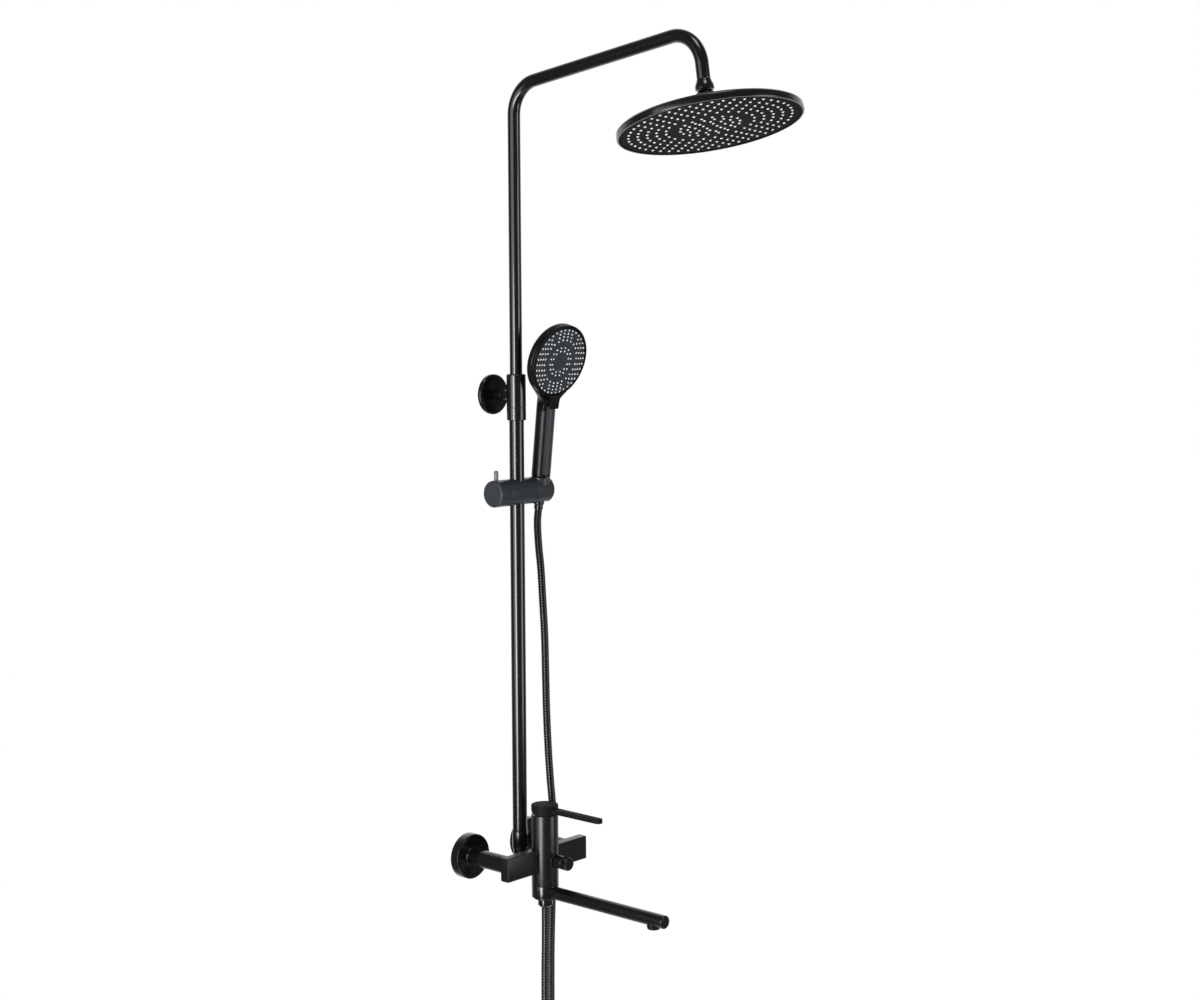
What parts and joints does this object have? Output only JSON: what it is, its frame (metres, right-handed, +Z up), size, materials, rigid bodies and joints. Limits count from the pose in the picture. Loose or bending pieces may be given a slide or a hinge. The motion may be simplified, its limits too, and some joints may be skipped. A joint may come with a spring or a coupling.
{
  "type": "shower column",
  "caption": "Wall-mounted rain shower column: lever bath mixer with swivel spout, telescopic riser with bent arm, round rain head, sliding hand shower and hose.",
  "frame": {"origin": "on the wall, midway between the two water inlets and at their height", "axes": "+Z up, -Y out of the wall into the room, +X to the right when facing the wall"},
  "size_m": [0.2996, 0.6392, 1.8724],
  "materials": {
    "matt_black_metal": "matt black powder coat",
    "black_plastic": "matt black moulding",
    "gunmetal_plastic": "dark grey moulding",
    "pale_silicone": "pale grey silicone",
    "raw_brass": "machined",
    "white_nylon": "moulded nylon",
    "black_rubber": "moulded seal",
    "stainless_steel": "satin",
    "hose_sleeve": "smooth black PVC sleeve"
  },
  "bodies": {
    "column": {"rose_left": "matt_black_metal", "rose_right": "matt_black_metal", "s_union_left": "raw_brass", "s_union_right": "raw_brass", "coupling_nut_left": "matt_black_metal", "coupling_nut_right": "matt_black_metal", "inlet_washer_left": "black_rubber", "inlet_washer_right": "black_rubber", "mixer_body": "matt_black_metal", "cartridge": "white_nylon", "cartridge_nut": "raw_brass", "spout_seal_lower": "black_rubber", "spout_seal_upper": "black_rubber", "hose_outlet": "matt_black_metal", "hose_nut_lower": "matt_black_metal", "diverter_bonnet": "matt_black_metal", "riser_elbow": "matt_black_metal", "riser_nut": "matt_black_metal", "lower_riser": "matt_black_metal", "riser_clamp": "matt_black_metal", "clamp_screw": "stainless_steel", "wall_plate": "matt_black_metal", "bracket_post": "matt_black_metal", "hose": "hose_sleeve"},
    "lever_carrier": {"lever_dome": "matt_black_metal"},
    "lever": {"lever": "matt_black_metal", "lever_spindle": "stainless_steel"},
    "spout": {"spout": "matt_black_metal", "aerator": "black_plastic"},
    "diverter": {"diverter_knob": "matt_black_metal", "diverter_spindle": "raw_brass"},
    "riser_slide": {"riser_guide": "white_nylon"},
    "arm": {"upper_riser": "matt_black_metal", "head_ball": "stainless_steel", "ball_nut": "matt_black_metal"},
    "head_swivel": {"ball_seat": "white_nylon"},
    "head": {"head_back": "black_plastic", "ball_cap": "black_plastic", "head_face": "gunmetal_plastic", "head_nozzle_mat": "pale_silicone"},
    "slider_carriage": {"slider_bush": "white_nylon"},
    "slider": {"slider_body": "black_plastic"},
    "slider_lock": {"slider_lock_knob": "black_plastic", "slider_lock_screw": "stainless_steel", "slider_lock_pin": "black_plastic"},
    "holder": {"handset_holder": "black_plastic", "holder_liner": "white_nylon"},
    "handset": {"handset_shell": "black_plastic", "handset_trim": "gunmetal_plastic", "handset_face": "gunmetal_plastic", "handset_nozzle_mat": "pale_silicone", "hose_nut_upper": "matt_black_metal"},
    "selector": {"selector_ring": "black_plastic"}
  },
  "joints": [
    {"name": "lever_turn", "type": "hinge", "parent": "column", "child": "lever_carrier", "pos_m": [0, -0.121, 0.0805], "axis": [0, 0, 1], "range_deg": [-50, 50]},
    {"name": "lever_lift", "type": "hinge", "parent": "lever_carrier", "child": "lever", "pos_m": [0, -0.121, 0.074], "axis": [-1, 0, 0], "range_deg": [0, 22]},
    {"name": "spout_turn", "type": "hinge", "parent": "column", "child": "spout", "pos_m": [0, -0.121, -0.057], "axis": [0, 0, 1], "range_deg": [-90, 90]},
    {"name": "diverter_turn", "type": "hinge", "parent": "column", "child": "diverter", "pos_m": [0, -0.15, 0], "axis": [0, -1, 0], "range_deg": [-60, 60]},
    {"name": "riser_height", "type": "slide", "parent": "column", "child": "riser_slide", "axis": [0, 0, 1], "range_m": [-0.22, 0.1]},
    {"name": "arm_turn", "type": "hinge", "parent": "riser_slide", "child": "arm", "pos_m": [0, -0.06, 1], "axis": [0, 0, 1], "range_deg": [-60, 60]},
    {"name": "head_swivel", "type": "hinge", "parent": "arm", "child": "head_swivel", "pos_m": [0, -0.4823, 1.3022], "axis": [0, 0.1461, 0.9893], "continuous": true},
    {"name": "head_tilt", "type": "hinge", "parent": "head_swivel", "child": "head", "pos_m": [0, -0.4823, 1.3022], "axis": [0.891, -0.4491, 0.0663], "range_deg": [-6.5, 17.5]},
    {"name": "slider_height", "type": "slide", "parent": "column", "child": "slider_carriage", "axis": [0, 0, 1], "range_m": [-0.42, 0.09], "deforming": ["hose"]},
    {"name": "slider_turn", "type": "hinge", "parent": "slider_carriage", "child": "slider", "pos_m": [0, -0.06, 0.649], "axis": [0, 0, 1], "range_deg": [-30, 30], "deforming": ["hose"]},
    {"name": "slider_lock_turn", "type": "hinge", "parent": "slider", "child": "slider_lock", "pos_m": [-0.052, -0.06, 0.649], "axis": [1, 0, 0], "range_deg": [0, 60]},
    {"name": "holder_tilt", "type": "hinge", "parent": "slider", "child": "holder", "pos_m": [0.054, -0.06, 0.649], "axis": [1, 0, 0], "range_deg": [-2, 20], "deforming": ["hose"]},
    {"name": "handset_lift", "type": "slide", "parent": "holder", "child": "handset", "axis": [0, -0.1115, 0.9938], "range_m": [0, 0.065], "deforming": ["hose"]},
    {"name": "selector_turn", "type": "hinge", "parent": "handset", "child": "selector", "pos_m": [0.054, -0.1158, 0.877], "axis": [0, -0.9548, -0.2974], "range_deg": [-22, 22]}
  ]
}
